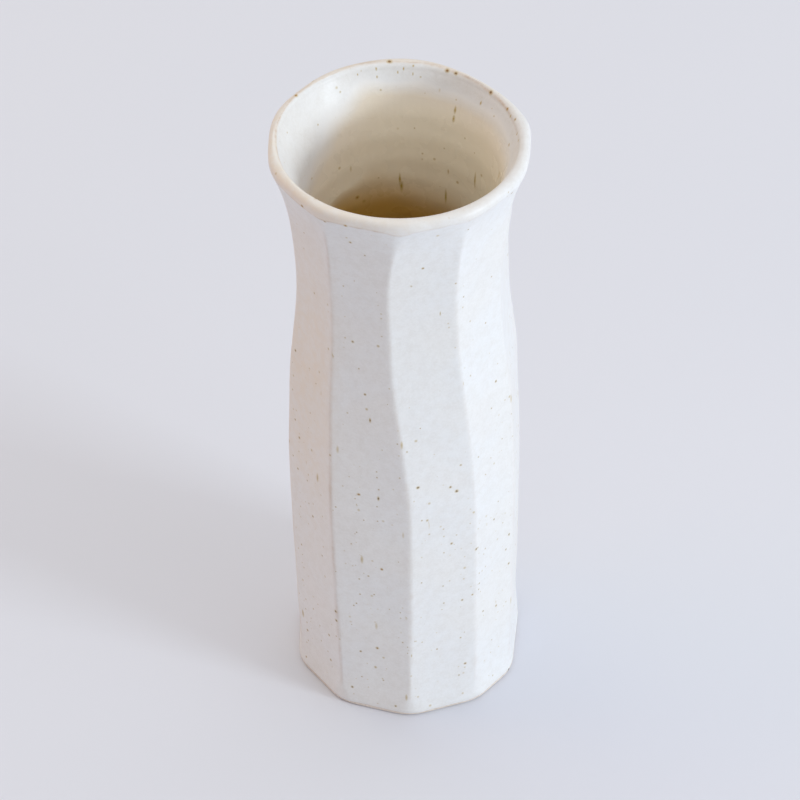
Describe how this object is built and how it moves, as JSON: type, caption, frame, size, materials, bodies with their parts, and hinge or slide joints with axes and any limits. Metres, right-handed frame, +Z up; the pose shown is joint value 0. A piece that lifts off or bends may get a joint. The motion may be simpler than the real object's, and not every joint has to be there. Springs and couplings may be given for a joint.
{
  "type": "bud vase",
  "caption": "Tall round-mouthed stoneware vase with faceted sides, a narrowed neck, a flared rolled lip and a speckled white glaze.",
  "frame": {"origin": "middle of the foot, on the surface that the vase stands on", "axes": "+Z up the vase's axis to the mouth; -Y towards the facet edge that wanders most, which is the front; +X to the right seen from the front"},
  "size_m": [0.0667, 0.069, 0.18],
  "materials": {
    "stoneware": "matt fired clay",
    "liner_glaze": "gloss white liner glaze with iron specks",
    "outer_glaze": "satin white glaze with iron specks",
    "lip_glaze": "satin white glaze, toasted where it is thin"
  },
  "bodies": {
    "root": {"stoneware_body": "stoneware", "liner_glaze": "liner_glaze", "outer_glaze": "outer_glaze", "lip_glaze": "lip_glaze"}
  },
  "joints": []
}
